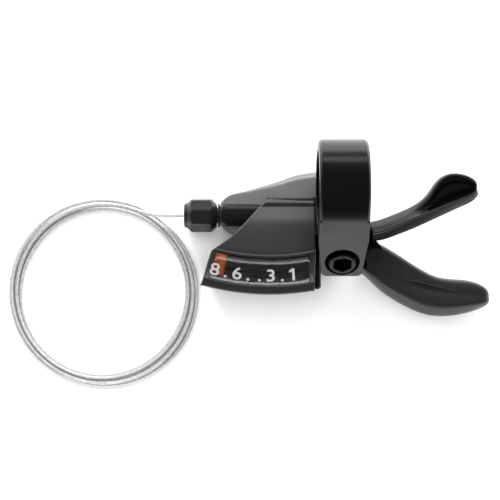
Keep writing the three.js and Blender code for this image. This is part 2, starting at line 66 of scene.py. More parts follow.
def linear(code, gain=1.0):
    """An sRGB hex value as a linear RGBA colour."""
    parts = [int(code[i:i + 2], 16) / 255 for i in (0, 2, 4)]
    curve = [p / 12.92 if p <= 0.04045 else ((p + 0.055) / 1.055) ** 2.4 for p in parts]
    return (*(min(1, c * gain) for c in curve), 1.0)


def add(tree, kind, links=None, **settings):
    """Adds a node: settings are its properties or its sockets' values, links the sources."""
    node = tree.nodes.new(kind)
    for name, value in settings.items():
        if hasattr(node, name):
            setattr(node, name, value)
        else:
            node.inputs[name.replace("_", " ")].default_value = value
    for name, source in (links or {}).items():
        tree.links.new(source, node.inputs[name])
    return node


def new_material(name):
    """An empty material, with its tree and its principled shader."""
    material = bpy.data.materials.new(name)
    material.use_nodes = True
    tree = material.node_tree
    tree.nodes.clear()
    shader = add(tree, "ShaderNodeBsdfPrincipled")
    add(tree, "ShaderNodeOutputMaterial", {"Surface": shader.outputs[0]})
    return material, tree, shader


def softbox(name, place, aim, size, power, mirrored):
    """A rectangular lamp; sizes and places are in millimetres."""
    lamp = bpy.data.lights.new(name, "AREA")
    lamp.shape = "RECTANGLE"
    lamp.size, lamp.size_y = (s * MM for s in size)
    lamp.energy = power
    light = bpy.data.objects.new(name, lamp)
    bpy.context.collection.objects.link(light)
    light.location = Vector(place) * MM
    toward = (Vector(aim) - Vector(place)).normalized()
    light.rotation_euler = toward.to_track_quat("-Z", "Y").to_euler()
    light.visible_glossy = mirrored


camera_data = bpy.data.cameras.new("camera")
camera_data.sensor_width = CAMERA["sensor"]
camera_data.lens = CAMERA["lens"]
camera = bpy.data.objects.new("camera", camera_data)
bpy.context.collection.objects.link(camera)
camera.location = Vector(CAMERA["place"]) * MM
bpy.context.scene.camera = camera

floor_bm = bmesh.new()
bmesh.ops.create_grid(floor_bm, x_segments=1, y_segments=1, size=FLOOR["half"] * MM)
floor_mesh = bpy.data.meshes.new("table_top")
floor_bm.to_mesh(floor_mesh)
floor_bm.free()
floor = bpy.data.objects.new("table_top", floor_mesh)
bpy.context.collection.objects.link(floor)
floor.location.z = -FLOOR["drop"] * MM
# Matt white board: it shows no reflection, only a soft shadow.
floor_material, _, floor_shader = new_material("matt_white_board")
floor_shader.inputs["Base Color"].default_value = linear(FLOOR["white"])
floor_shader.inputs["Roughness"].default_value = FLOOR["roughness"]
floor_mesh.materials.append(floor_material)

world = bpy.data.worlds.new("studio")
world.use_nodes = True
background = world.node_tree.nodes["Background"]
background.inputs["Color"].default_value = (1, 1, 1, 1)
background.inputs["Strength"].default_value = ROOM_LIGHT
bpy.context.scene.world = world
bpy.context.scene.view_settings.view_transform = "Standard"

for lamp_row in LAMPS:
    softbox(*lamp_row)

# ---------------------------------------------------------------- shift cable
# The inner cable: a 1.1 mm stainless wire rope, as new from its packet. It leaves the adjuster
# and lies in a flat storage coil of seven turns, six of them twisted round the last one.
CABLE = {"diameter": 1.12, "y": -3.4, "z": 5.7, "strands": 7, "lay": 5.5, "valley": 0.8, "gap": 0.3,
         "step": 0.45, "stain": 0.7}
STRAND_POINTS = 3  # points of the rope's section for each strand, the first in the valley
LEAD_OUT, BEND_PULL, BEND_STEPS = (0, 1.5, 3, 4.5, 6), 0.4, 16
COIL = {"x": -69, "y": -26.9, "radius": 27, "middle": 1.66, "meets": 84, "turns": 6}
# The last turn's share, how far round the ends take to settle, the lead's lift and the slack.
LAST_TURN, SETTLE, LEAD_LIFT, TIGHT, SLACK, SLACK_PHASE = 0.96, math.radians(40), 1.15, 1.1, 0.5, 0.6
STEPS_PER_TURN = 120
knob_low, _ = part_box("adjuster_knob")
cable_exit = Vector((knob_low.x / MM - CABLE["gap"], CABLE["y"], CABLE["z"]))


def eased(t):
    """A share from 0 to 1 that starts and ends slowly."""
    t = min(max(t, 0), 1)
    return t * t * (3 - 2 * t)


def coiled_turns():
    """The turns of the coil, from where the lead comes over it to the cable's free end."""
    around = COIL["turns"] * 2 * math.pi
    total = around + 2 * math.pi * LAST_TURN
    steps = (COIL["turns"] + 1) * STEPS_PER_TURN
    for i in range(steps + 1):
        wound = total * i / steps
        slot = math.radians(90) + wound / COIL["turns"]
        spread = CABLE["diameter"] * (1 - eased((wound - around + SETTLE) / SETTLE))
        loose = TIGHT + SLACK * math.sin(wound + SLACK_PHASE) ** 2
        reach = COIL["radius"] + spread * loose * math.cos(slot)
        height = COIL["middle"] + spread * math.sin(slot) + LEAD_LIFT * (1 - eased(wound / SETTLE))
        angle = math.radians(COIL["meets"]) + wound
        yield Vector((COIL["x"] + reach * math.cos(angle), COIL["y"] + reach * math.sin(angle), height))


def cable_route():
    """The cable's centreline in millimetres, from the adjuster to its free end."""
    straight = [cable_exit + Vector((-d, 0, 0)) for d in LEAD_OUT]
    turns = list(coiled_turns())
    start, end = straight[-1], turns[0]
    pull = (end - start).length * BEND_PULL
    leaving = start + Vector((-pull, 0, 0))
    arriving = end - (turns[1] - end).normalized() * pull
    bend = []
    for i in range(1, BEND_STEPS):
        t = i / BEND_STEPS
        u = 1 - t
        bend.append(u ** 3 * start + 3 * t * u * u * leaving + 3 * t * t * u * arriving + t ** 3 * end)
    return straight + bend + turns


def evenly(points, step):
    """The same line with its points one step apart."""
    out, left = [points[0]], step
    for a, b in zip(points, points[1:]):
        length = (b - a).length
        while left <= length:
            out.append(a.lerp(b, left / length))
            left += step
        left -= length
    return out


def wire_rope(name, route):
    """A rope of twisted strands along a route in millimetres: a bevelled curve made a mesh."""
    around = CABLE["strands"] * STRAND_POINTS
    profile = bpy.data.curves.new("strand_profile", "CURVE")
    ring = profile.splines.new("POLY")
    ring.points.add(around - 1)
    for i, point in enumerate(ring.points):
        angle = 2 * math.pi * i / around
        reach = CABLE["diameter"] / 2 * (1 if i % STRAND_POINTS else CABLE["valley"])
        point.co = (reach * math.cos(angle) * MM, reach * math.sin(angle) * MM, 0, 1)
    ring.use_cyclic_u = True
    line = bpy.data.curves.new("cable_line", "CURVE")
    line.dimensions = "3D"
    line.twist_mode = "Z_UP"
    path = line.splines.new("POLY")
    path.points.add(len(route) - 1)
    travelled = 0.0
    for i, (point, place) in enumerate(zip(path.points, route)):
        travelled += (place - route[i - 1]).length if i else 0
        point.co = (*(place * MM), 1)
        point.tilt = 2 * math.pi * travelled / CABLE["lay"]
    section = bpy.data.objects.new("strand_profile", profile)
    holder = bpy.data.objects.new("cable_line", line)
    for part in (section, holder):
        bpy.context.collection.objects.link(part)
    line.bevel_mode = "OBJECT"
    line.bevel_object = section
    line.use_fill_caps = True
    bpy.context.view_layer.update()
    graph = bpy.context.evaluated_depsgraph_get()
    mesh = bpy.data.meshes.new_from_object(holder.evaluated_get(graph))
    mesh.name = name
    mesh.materials.clear()
    for part in (section, holder):
        bpy.data.objects.remove(part)
    made = bpy.data.objects.new(name, mesh)
    bpy.context.collection.objects.link(made)
    return made, travelled


def drawn_stainless():
    """Drawn stainless wire: bright, with the grey of its drawing soap left in patches."""
    material, tree, shader = new_material("drawn_stainless_wire")
    place = add(tree, "ShaderNodeTexCoord")
    grain = add(tree, "ShaderNodeTexNoise", {"Vector": place.outputs["Object"]},
                Scale=1 / (CABLE["stain"] * MM), Detail=3)
    tone = add(tree, "ShaderNodeValToRGB", {"Fac": grain.outputs["Fac"]})
    tone.color_ramp.elements[0].color = linear("8E8F91")
    tone.color_ramp.elements[1].color = linear("F0F0F0")
    tree.links.new(tone.outputs["Color"], shader.inputs["Base Color"])
    shader.inputs["Metallic"].default_value = 0.5
    shader.inputs["Roughness"].default_value = 0.32
    return material


wire_steel = drawn_stainless()
cable_line = evenly(cable_route(), CABLE["step"])
cable, cable_length = wire_rope("shift_cable", cable_line)
cable.data.materials.append(wire_steel)
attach(cable, "housing")
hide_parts("cable_lead", "cable_coil")

# ---------------------------------------------------------------- case
# The case is two mouldings of glass-filled nylon, screwed together from below. They come off
# the tool with soft edges and a fine spark-eroded grain.
SKINS = {"upper": (0.28, 4), "lower": (0.3, 3)}  # size of the skin's faces, rounds of smoothing
MOTTLE = {"size": 7, "darker": 0.86, "lighter": 1.16, "gloss": 0.04}
BUMP = 0.3
MERGE_DISTANCE = 0.002
SHARP_ANGLE = 32


def grained(name, colour, roughness, grain, depth, specular=0.5):
    """A fine-grained skin, as on eroded plastic or anodised metal, with a faint mottle."""
    material, tree, shader = new_material(name)
    place = add(tree, "ShaderNodeTexCoord")
    mottle = add(tree, "ShaderNodeTexNoise", {"Vector": place.outputs["Object"]},
                 Scale=1 / (MOTTLE["size"] * MM), Detail=4)
    tone = add(tree, "ShaderNodeValToRGB", {"Fac": mottle.outputs["Fac"]})
    tone.color_ramp.elements[0].color = linear(colour, MOTTLE["darker"])
    tone.color_ramp.elements[1].color = linear(colour, MOTTLE["lighter"])
    gloss = add(tree, "ShaderNodeMapRange", {"Value": mottle.outputs["Fac"]})
    gloss.inputs["To Min"].default_value = roughness - MOTTLE["gloss"]
    gloss.inputs["To Max"].default_value = roughness + MOTTLE["gloss"]
    fine = add(tree, "ShaderNodeTexNoise", {"Vector": place.outputs["Object"]},
               Scale=1 / (grain * MM), Detail=2)
    bump = add(tree, "ShaderNodeBump", {"Height": fine.outputs["Fac"]}, Strength=BUMP, Distance=depth * MM)
    tree.links.new(tone.outputs["Color"], shader.inputs["Base Color"])
    tree.links.new(gloss.outputs["Result"], shader.inputs["Roughness"])
    tree.links.new(bump.outputs["Normal"], shader.inputs["Normal"])
    shader.inputs["Specular IOR Level"].default_value = specular
    return material


def merged(*nodes):
    """A bmesh of carried-over solids with their doubled corners merged."""
    bm = bmesh.new()
    for node in nodes:
        bm.from_mesh(frame["nodes"][node].data)
    bmesh.ops.remove_doubles(bm, verts=bm.verts, dist=MERGE_DISTANCE * MM)
    return bm


def piece(name, bm, material, body, replaces=(), sharp=SHARP_ANGLE):
    """Turns a bmesh into a finished piece of the shifter that rides on a body."""
    mesh = bpy.data.meshes.new(name)
    bm.to_mesh(mesh)
    bm.free()
    mesh.shade_smooth()
    if sharp < 180:
        mesh.set_sharp_from_angle(angle=math.radians(sharp))
    mesh.materials.append(material)
    made = bpy.data.objects.new(name, mesh)
    bpy.context.collection.objects.link(made)
    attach(made, body)
    if replaces:
        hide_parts(*replaces)
    return made


def applied(made):
    """Takes a piece's modifiers into its mesh."""
    bpy.context.view_layer.update()
    graph = bpy.context.evaluated_depsgraph_get()
    mesh = bpy.data.meshes.new_from_object(made.evaluated_get(graph))
    old = made.data
    made.modifiers.clear()
    made.data = mesh
    bpy.data.meshes.remove(old)
    mesh.name = made.name


def softened(made, voxel, rounds):
    """Gives a moulding its soft edges: an even skin of small faces, smoothed a few times."""
    skin = made.modifiers.new("skin", "REMESH")
    skin.mode = "VOXEL"
    skin.voxel_size = voxel * MM
    skin.use_smooth_shade = True
    applied(made)
    bm = bmesh.new()
    bm.from_mesh(made.data)
    for _ in range(rounds):
        bmesh.ops.smooth_vert(bm, verts=bm.verts, factor=0.5, use_axis_x=True, use_axis_y=True,
                              use_axis_z=True)
    bm.to_mesh(made.data)
    bm.free()


# Glass-filled nylon, grey: a dry, even sheen over a fine eroded grain.
case_nylon = grained("grey_glass_filled_nylon", "545454", 0.5, 0.35, 0.02)
# The same nylon in black, for the cover underneath.
base_nylon = grained("black_glass_filled_nylon", "171717", 0.5, 0.35, 0.02)
upper_case = piece("upper_case_moulding", merged("upper_case"), case_nylon, "housing",
                   ["upper_case"])
softened(upper_case, *SKINS["upper"])
lower_cover = piece("lower_cover_moulding", merged("lower_cover"), base_nylon, "housing",
                    ["lower_cover"])
softened(lower_cover, *SKINS["lower"])

# ---------------------------------------------------------------- adjuster boss
# The barrel adjuster screws into a black nylon boss, a half round moulded over the case's slope.
# It runs from the case's end to under the hood, and its gloss sets it off from the grey case.
BOSS = {"y": -3.5, "half": 3.7, "rise": 2.0, "sink": 1.6, "sides": 8, "fullness": 0.7}
BOSS_STATIONS = [  # place along the handlebar, size
    (-33.3, 0.72), (-33.0, 0.95), (-31.5, 1.0), (-28, 1.0), (-24, 0.98), (-20.5, 0.95), (-16.5, 0.9),
]
CASE_TOP = {"height": 16, "slope_from": -9, "slope": 0.22}


def hull_top(x):
    """The height of the case along its length."""
    return CASE_TOP["height"] - max(0, CASE_TOP["slope_from"] - x) * CASE_TOP["slope"]


def across(a, b, share, height):
    """A point a share of the way from one place to another, at its own height."""
    x, y = Vector(a).lerp(Vector(b), share)
    return Vector((x, y, height))


def lofted(rings):
    """A closed skin over rings of points in millimetres, each with the same count."""
    bm = bmesh.new()
    edges = []
    for ring in rings:
        verts = [bm.verts.new(p * MM) for p in ring]
        edges.append([bm.edges.new((verts[i - 1], v)) for i, v in enumerate(verts)])
    for a, b in zip(edges, edges[1:]):
        bmesh.ops.bridge_loops(bm, edges=a + b)
    for end in (edges[0], edges[-1]):
        bmesh.ops.contextual_create(bm, geom=end)
    bmesh.ops.recalc_face_normals(bm, faces=bm.faces)
    return bm


def subdivided(made, levels=2):
    """Rounds a piece with a subdivision surface."""
    skin = made.modifiers.new("skin", "SUBSURF")
    skin.levels = skin.render_levels = levels


def boss_ring(x, size):
    """One section of the boss: a half ellipse that stands on the case."""
    base = hull_top(x) - BOSS["sink"]
    points = []
    for i in range(BOSS["sides"] + 1):
        angle = math.pi * i / BOSS["sides"]
        reach = BOSS["half"] * math.cos(angle)
        rise = (BOSS["sink"] + BOSS["rise"]) * math.sin(angle) ** BOSS["fullness"]
        points.append(Vector((x, BOSS["y"] + reach * size, base + rise * size)))
    return points


# Black nylon straight off a polished part of the tool: darker and glossier than the case.
boss_nylon = grained("black_boss_nylon", "0A0A0A", 0.3, 0.35, 0.008)
boss = piece("adjuster_boss", lofted([boss_ring(*s) for s in BOSS_STATIONS]), boss_nylon, "housing",
             sharp=180)
subdivided(boss)

# ---------------------------------------------------------------- mechanism
# Inside the case turn the pressed steel plates, the pawls and the acetal spool. They keep the
# shapes of the frame's own solids, so each gets the finish of its real material here.
LINE_STRETCH = (0.15, 1, 1)


def worked_metal(name, dark, light, roughness, grain, depth):
    """Metal with the fine lines of its machining, drawn out along one axis."""
    material, tree, shader = new_material(name)
    place = add(tree, "ShaderNodeTexCoord")
    stretch = add(tree, "ShaderNodeMapping", {"Vector": place.outputs["Object"]}, Scale=LINE_STRETCH)
    lines = add(tree, "ShaderNodeTexNoise", {"Vector": stretch.outputs["Vector"]},
                Scale=1 / (grain * MM), Detail=3)
    tone = add(tree, "ShaderNodeValToRGB", {"Fac": lines.outputs["Fac"]})
    tone.color_ramp.elements[0].color = linear(dark)
    tone.color_ramp.elements[1].color = linear(light)
    bump = add(tree, "ShaderNodeBump", {"Height": lines.outputs["Fac"]}, Strength=BUMP, Distance=depth * MM)
    tree.links.new(tone.outputs["Color"], shader.inputs["Base Color"])
    tree.links.new(bump.outputs["Normal"], shader.inputs["Normal"])
    shader.inputs["Metallic"].default_value = 1
    shader.inputs["Roughness"].default_value = roughness
    return material


# Bright zinc plate on turned and pressed steel: light grey, with the tool's lines under it.
zinc_steel = worked_metal("zinc_plated_steel", "7E8285", "A4A8AA", 0.38, 0.25, 0.01)
# Phosphated steel: a dull, almost black skin.
black_steel = worked_metal("phosphated_steel", "1C1D1F", "2E3032", 0.45, 0.25, 0.01)
# Acetal for what slides and turns: waxy, in grey, black and the orange of the pointer.
acetal_grey = grained("grey_acetal", "5A5B5D", 0.4, 0.5, 0.01)
acetal_black = grained("black_acetal", "121314", 0.38, 0.5, 0.01)
acetal_orange = grained("orange_acetal", "D2601A", 0.5, 0.5, 0.01)
finish_of_slot = {
    "case_plastic": acetal_grey,
    "black_plastic": acetal_black,
    "hood_plastic": acetal_black,
    "lever_plastic": acetal_black,
    "knob_plastic": acetal_black,
    "clear_lens": acetal_grey,
    "orange_plastic": acetal_orange,
    "anodised_band": black_steel,
    "black_bolt": black_steel,
    "zinc_steel": zinc_steel,
    "lever_plate_steel": black_steel,
    "cable_steel": wire_steel,
}
for row in frame["record"]["subparts"]:
    for place in frame["nodes"][row["node"]].material_slots:
        place.material = finish_of_slot[row["material_slot"]]

# ---------------------------------------------------------------- handlebar clamp
# The band is forged and turned aluminium, anodised satin black, with a split lug. Its M5 socket
# bolt of black oxide steel sits deep in a counterbore.


def rounded_edges(made, width, segments, limit, hard=True):
    """Breaks a piece's edges that are sharper than a limit in degrees."""
    edge = made.modifiers.new("rounded_edges", "BEVEL")
    edge.width = width * MM
    edge.segments = segments
    edge.limit_method = "ANGLE"
    edge.angle_limit = math.radians(limit)
    edge.use_clamp_overlap = False
    edge.harden_normals = hard


def trimmed(name, node, material, body, width):
    """A machined piece: a carried-over solid with a small chamfer on its sharp edges."""
    bm = merged(node)
    bmesh.ops.dissolve_limit(bm, angle_limit=math.radians(FLAT_ANGLE), verts=bm.verts, edges=bm.edges)
    made = piece(name, bm, material, body, [node])
    rounded_edges(made, width, 2, SHARP_ANGLE)


FLAT_ANGLE = 0.6
BAND_CHAMFER, BOLT_CHAMFER = 0.3, 0.25
# Aluminium under a dyed anodic film: an even, deep black with a soft shine at its edges.
anodised = grained("black_anodised_aluminium", "050505", 0.27, 0.3, 0.004, specular=0.35)
# Black oxide on steel: dark grey metal with faint lighter lines along it.
oxide_steel = worked_metal("black_oxide_steel", "141517", "3A3B3D", 0.36, 0.2, 0.01)
trimmed("clamp_band_forging", "clamp_band", anodised, "housing", BAND_CHAMFER)
trimmed("clamp_bolt_socket_head", "clamp_bolt", oxide_steel, "housing", BOLT_CHAMFER)

# ---------------------------------------------------------------- main lever
# The thumb pad of the main lever: a thick nylon moulding over the steel arm, with a ridge along
# its upper edge, a groove beside it and a broad crowned face for the thumb.
PAD_STATIONS = [
    # upper edge, groove, outer edge, share of the full height, share of the groove's depth
    ((11.2, -10.6), (8.6, -17.0), (7.4, -19.4), 0.87, 0.0),
    ((13.4, -11.2), (10.9, -18.4), (9.6, -21.0), 0.88, 0.05),
    ((16.4, -12.7), (13.6, -20.1), (12.2, -23.4), 0.97, 0.2),
    ((19.2, -14.4), (16.7, -21.4), (14.9, -26.2), 1.0, 0.3),
    ((22.6, -16.6), (20.3, -22.5), (18.5, -29.0), 1.0, 0.35),
    ((25.8, -18.7), (23.9, -23.5), (23.0, -31.5), 1.0, 0.7),
    ((28.8, -20.5), (27.4, -24.4), (27.6, -33.7), 0.98, 1.0),
    ((31.6, -21.9), (30.9, -25.2), (31.8, -34.5), 0.97, 0.9),
    ((34.8, -22.6), (34.6, -25.9), (35.7, -34.5), 0.96, 0.65),
    ((38.3, -22.8), (38.4, -26.6), (39.7, -33.9), 0.95, 0.35),
    ((41.8, -23.0), (41.9, -27.0), (43.2, -33.0), 0.92, 0.1),
    ((45.6, -24.1), (45.6, -27.5), (46.8, -31.7), 0.84, 0.0),
    ((48.5, -26.2), (48.3, -28.2), (48.9, -30.3), 0.64, 0.0),
]
PAD_FOOT = 2.0
# How far across each side of the groove, and how high: first the ridge, then the thumb's face.
RIDGE_SECTION = [(0, 3.0), (0, 7.2), (0.16, 9.0), (0.55, 9.35), (0.86, 9.2)]
FACE_SECTION = [(0.06, 9.1), (0.3, 9.1), (0.58, 8.6), (0.82, 6.6), (1, 3.0)]
# The groove's own place and height, its depth, and how much of that depth its lower side takes.
GROOVE, GROOVE_DEPTH, GROOVE_FAR = (0.99, 9.15), 1.5, 0.7
UNDER_EDGE, UNDER_MIDDLE = (0.88, 0.9), (0.3, 0.2)


def pad_ring(upper, groove, outer, share, depth):
    """One section of the thumb pad."""
    cut = GROOVE_DEPTH * depth
    ring = [across(upper, groove, u, PAD_FOOT + h * share) for u, h in RIDGE_SECTION]
    ring += [across(upper, groove, GROOVE[0], PAD_FOOT + GROOVE[1] * share - cut)]
    for i, (u, h) in enumerate(FACE_SECTION):
        ring.append(across(groove, outer, u, PAD_FOOT + h * share - (0 if i else GROOVE_FAR * cut)))
    ring += [across(groove, outer, u, PAD_FOOT + h) for u, h in (UNDER_EDGE, UNDER_MIDDLE)]
    ring += [across(upper, groove, UNDER_MIDDLE[0], PAD_FOOT + UNDER_EDGE[1])]
    return ring


# Nylon with a satin grain, worn a little smooth by the thumb: a broad, soft highlight.
lever_nylon = grained("satin_black_nylon", "1C1C1C", 0.4, 0.3, 0.012)
main_pad = piece("main_lever_thumb_pad", lofted([pad_ring(*s) for s in PAD_STATIONS]), lever_nylon,
                 "main_lever", ["main_lever_pad"], sharp=180)
subdivided(main_pad)

# ---------------------------------------------------------------- release lever
# The release lever's pad: a slim nylon moulding, roof-shaped near its root, that widens to a
# spoon whose rim runs round a deep scoop for the tip of the finger.
RELEASE_STATIONS = [
    # upper edge, scoop's upper side, crest, lower edge, depth of the scoop
    ((10.6, -5.7), (11.3, -7.2), (11.9, -8.9), (12.4, -11.2), 0.0),
    ((10.9, -5.65), (11.6, -7.1), (12.2, -8.85), (12.7, -11.15), 0.0),
    ((14.2, -5.0), (14.5, -6.6), (14.9, -8.5), (15.4, -11.1), 0.0),
    ((17.6, -3.6), (18.0, -5.2), (18.5, -7.0), (19.6, -9.5), 0.0),
    ((21.0, -2.3), (21.5, -3.7), (22.1, -5.3), (23.4, -8.1), 0.0),
    ((24.2, -0.8), (24.9, -2.2), (25.6, -3.8), (27.0, -6.5), 0.0),
    ((27.2, 1.2), (27.6, -0.9), (28.6, -2.5), (30.0, -5.1), 2.4),
    ((29.4, 4.2), (30.1, 2.4), (31.6, -1.4), (33.0, -3.7), 4.2),
    ((31.0, 6.9), (32.0, 6.0), (34.2, -0.5), (35.9, -2.4), 4.6),
    ((34.0, 8.9), (34.5, 7.8), (36.9, 0.5), (38.6, -1.1), 4.6),
    ((37.4, 9.1), (37.4, 8.0), (39.2, 1.5), (41.0, -0.2), 4.4),
    ((41.3, 8.0), (40.5, 7.0), (41.6, 2.6), (43.2, 1.2), 3.6),
    ((43.8, 6.1), (42.8, 5.4), (42.9, 3.9), (44.2, 3.1), 1.6),
]
RELEASE = {"foot": 12.3, "side": 13.0, "root_edge": 15.2, "shoulder": 17.2, "crest": 18.9, "rim": 18.6,
           "slope": 16.8, "edge": 14.4}
FULL_SCOOP = 4  # depth at which the scoop's rim stands at its full height
# The points of a section that bound the scoop, the section it starts from, and its lower side: they mark
# the faces painted dark as shade.
SCOOP_POINTS, SCOOP_FROM, LOWER_POINTS = range(4, 8), 6, range(8, 12)


def release_ring(upper, scoop, crest, lower, depth):
    """One section of the release lever's pad."""
    opened = min(depth / FULL_SCOOP, 1)
    foot, rim = RELEASE["foot"], RELEASE["rim"]
    edge = RELEASE["root_edge"] + (rim - 0.6 - RELEASE["root_edge"]) * opened
    shoulder = RELEASE["shoulder"] + (rim - RELEASE["shoulder"]) * opened
    return [
        across(upper, scoop, 0, RELEASE["side"]),
        across(upper, scoop, 0, edge),
        across(upper, scoop, 0.45, (edge + shoulder) / 2 + 0.5 * opened),
        across(upper, scoop, 0.95, shoulder),
        across(scoop, crest, 0.12, 17.6 - depth * 0.8),
        across(scoop, crest, 0.5, 18.1 - depth),
        across(scoop, crest, 0.8, 18.5 - depth * 0.85),
        across(scoop, crest, 0.97, RELEASE["crest"] - 0.2 * opened),
        across(crest, lower, 0.14, RELEASE["crest"] - 0.2),
        across(crest, lower, 0.6, RELEASE["slope"]),
        across(crest, lower, 1, RELEASE["edge"]),
        across(crest, lower, 1, RELEASE["side"]),
        across(crest, lower, 0.5, foot),
        across(upper, scoop, 0.6, foot),
    ]


release_bm = lofted([release_ring(*s) for s in RELEASE_STATIONS])
release_bm.verts.index_update()
ring_size = len(release_ring(*RELEASE_STATIONS[0]))
# The scoop and the lower side take the two materials of painted shade.
for face in release_bm.faces:
    points = [(v.index // ring_size, v.index % ring_size) for v in face.verts]
    if all(section >= SCOOP_FROM and point in SCOOP_POINTS for section, point in points):
        face.material_index = 1
    elif all(point in LOWER_POINTS for _, point in points):
        face.material_index = 2
release_pad = piece("release_lever_spoon", release_bm, lever_nylon, "release_lever",
                    ["release_lever_pad"], sharp=180)
# The scoop is painted deep black and polished, painted shade in its hollow, and the side below the crest is
# painted darker and left matt, painted shade on that side.
for finish in (grained("scoop_painted_shade_nylon", "060606", 0.22, 0.5, 0.003),
               grained("lower_side_painted_shade_nylon", "050505", 0.55, 0.3, 0.012, specular=0.2)):
    release_pad.data.materials.append(finish)
subdivided(release_pad)

# ---------------------------------------------------------------- gear display
# Under the hood's window an orange flag slides over a black dial plate. The window is clear
# polycarbonate with its numbers printed on it, and both wrap round the dial as parts of a cone.
DIAL = {"x": -18.3, "y": 48, "top_r": 63.2, "top_z": 24, "low_r": 72.6, "low_z": 17.5}
SLOPE = math.atan2(DIAL["top_z"] - DIAL["low_z"], DIAL["low_r"] - DIAL["top_r"])
GEARS = "8.6..3.1"
FIRST_ANGLE, ANGLE_STEP = -103.5, 2.74
DIGIT = {"baseline": 9.45, "size": 6.1, "weight": 0.075, "thickness": 0.03, "out": 0.3, "radius": 69.4}
# The slanted stroke of the figure one, as corners to the left of its stem.
ONE_STROKE, STROKE_HALF = [(0.1, 4.45), (-1.25, 3.65), (-1.25, 2.85), (0.1, 3.5)], 0.01
POINTER = {"left": -104.7, "right": -101.1, "top": 1.6, "end": 10.3, "out": -1.4, "dip": 0.9,
           "turned_from": 0.7, "wall": 0.5}


def on_dial(angle, down, out):
    """A point of the dial: an angle round it, a way down its slope and out from it."""
    radius = DIAL["top_r"] + down * math.cos(SLOPE) + out * math.sin(SLOPE)
    turn = math.radians(angle)
    return Vector((DIAL["x"] + radius * math.cos(turn), DIAL["y"] + radius * math.sin(turn),
                   DIAL["top_z"] - down * math.sin(SLOPE) + out * math.cos(SLOPE)))


def printed_gears():
    """The gear numbers, bent on to the face of the window."""
    bm = bmesh.new()
    for i, figure in enumerate(GEARS):
        text = bpy.data.curves.new("gear", "FONT")
        text.body = figure
        text.size = DIGIT["size"] * MM
        text.align_x = "CENTER"
        text.offset = DIGIT["weight"] * MM
        text.extrude = DIGIT["thickness"] / 2 * MM
        holder = bpy.data.objects.new("gear", text)
        bpy.context.collection.objects.link(holder)
        bpy.context.view_layer.update()
        graph = bpy.context.evaluated_depsgraph_get()
        mesh = bpy.data.meshes.new_from_object(holder.evaluated_get(graph))
        bpy.data.objects.remove(holder)
        known = len(bm.verts)
        bm.from_mesh(mesh)
        if figure == "1":
            stroke = [bm.verts.new(Vector((x, y, z)) * MM) for z in (STROKE_HALF, -STROKE_HALF)
                      for x, y in ONE_STROKE]
            bmesh.ops.convex_hull(bm, input=stroke)
        bpy.data.meshes.remove(mesh)
        bm.verts.ensure_lookup_table()
        for vert in bm.verts[known:]:
            x, y, z = vert.co / MM
            angle = FIRST_ANGLE + i * ANGLE_STEP + math.degrees(x / DIGIT["radius"])
            vert.co = on_dial(angle, DIGIT["baseline"] - y, DIGIT["out"] + z) * MM
    return bm


def upward(bm):
    """Turns an open skin's faces to look up."""
    bmesh.ops.recalc_face_normals(bm, faces=bm.faces)
    if sum(f.normal.z * f.calc_area() for f in bm.faces) < 0:
        bmesh.ops.reverse_faces(bm, faces=bm.faces)


def pointer_flag():
    """The orange flag: a strip of the dial's cone, turned down along its right edge."""
    bm = bmesh.new()
    bmesh.ops.create_grid(bm, x_segments=10, y_segments=8, size=1)
    for vert in bm.verts:
        share_across, share_down = (vert.co.x + 1) / 2, (vert.co.y + 1) / 2
        angle = POINTER["left"] + (POINTER["right"] - POINTER["left"]) * share_across
        turned = max(0, (share_across - POINTER["turned_from"]) / (1 - POINTER["turned_from"]))
        down = POINTER["top"] + (POINTER["end"] - POINTER["top"]) * share_down
        vert.co = on_dial(angle, down, POINTER["out"] - POINTER["dip"] * turned ** 2) * MM
    upward(bm)
    return bm


def walled(made, thickness):
    """Gives a skin its wall, inwards from its outer face."""
    wall = made.modifiers.new("wall", "SOLIDIFY")
    wall.thickness = thickness * MM
    wall.offset = -1
    return wall


pointer = piece("pointer_flag", pointer_flag(), acetal_orange, "indicator",
                ["pointer"], sharp=180)
walled(pointer, POINTER["wall"])
# Pad printing ink: flat, slightly grey white.
gear_ink = grained("white_pad_print", "B4B4B4", 0.6, 0.4, 0.004)
piece("gear_numbers", printed_gears(), gear_ink, "housing")

# ---------------------------------------------------------------- hood
# The hood over the display: glossy black ABS, rounded over its back, cut off to a cone at the
# front for the window, and framed there by narrow polished edges.
HOOD = {"back": 1.5, "right": -5.0, "foot": 12.0, "top": 24.2, "wall": 1.1, "chin_r": 75.2, "edge": 0.22}
# The hood's grid: its columns and frame, the rows at its back painted dark as shade, and its gap over the
# case.
FRAME, COLUMNS, PAINTED_SHADE_ROWS, CASE_GAP, CASE_ENDS = 1.6, 20, 5, 0.35, -10
CORNER_DROP = 0.35
HOOD_LEFT = [(1.5, -18.9), (-9.55, -29.0), (-14.2, -35.7), (-24.5, -38.9)]
HOOD_BACK = [(1.5, 15.6), (1.35, 16.9), (0.9, 18.0), (0.1, 19.0), (-1.2, 20.0), (-2.8, 21.1), (-4.6, 22.3),
             (-6.4, 23.3), (-8.4, 24.0)]
WINDOW_TOP, WINDOW_END = 1.5, 11.2
# How far the flat top ends before the dial, then the small step down to the window's frame.
TOP_ENDS = -1.4
RIDGE = [(-0.2, 24.15), (0.15, 23.98), (0.5, 23.45)]
CHIN = [(72.75, 17.2), (74.6, 16.75), (75.05, 16.35), (75.2, 15.7)]


def hood_left(y):
    """Where the hood's left edge is at a given place along it."""
    for (y0, x0), (y1, x1) in zip(HOOD_LEFT, HOOD_LEFT[1:]):
        if y >= y1:
            break
    return x0 + (x1 - x0) * (y0 - y) / (y0 - y1)


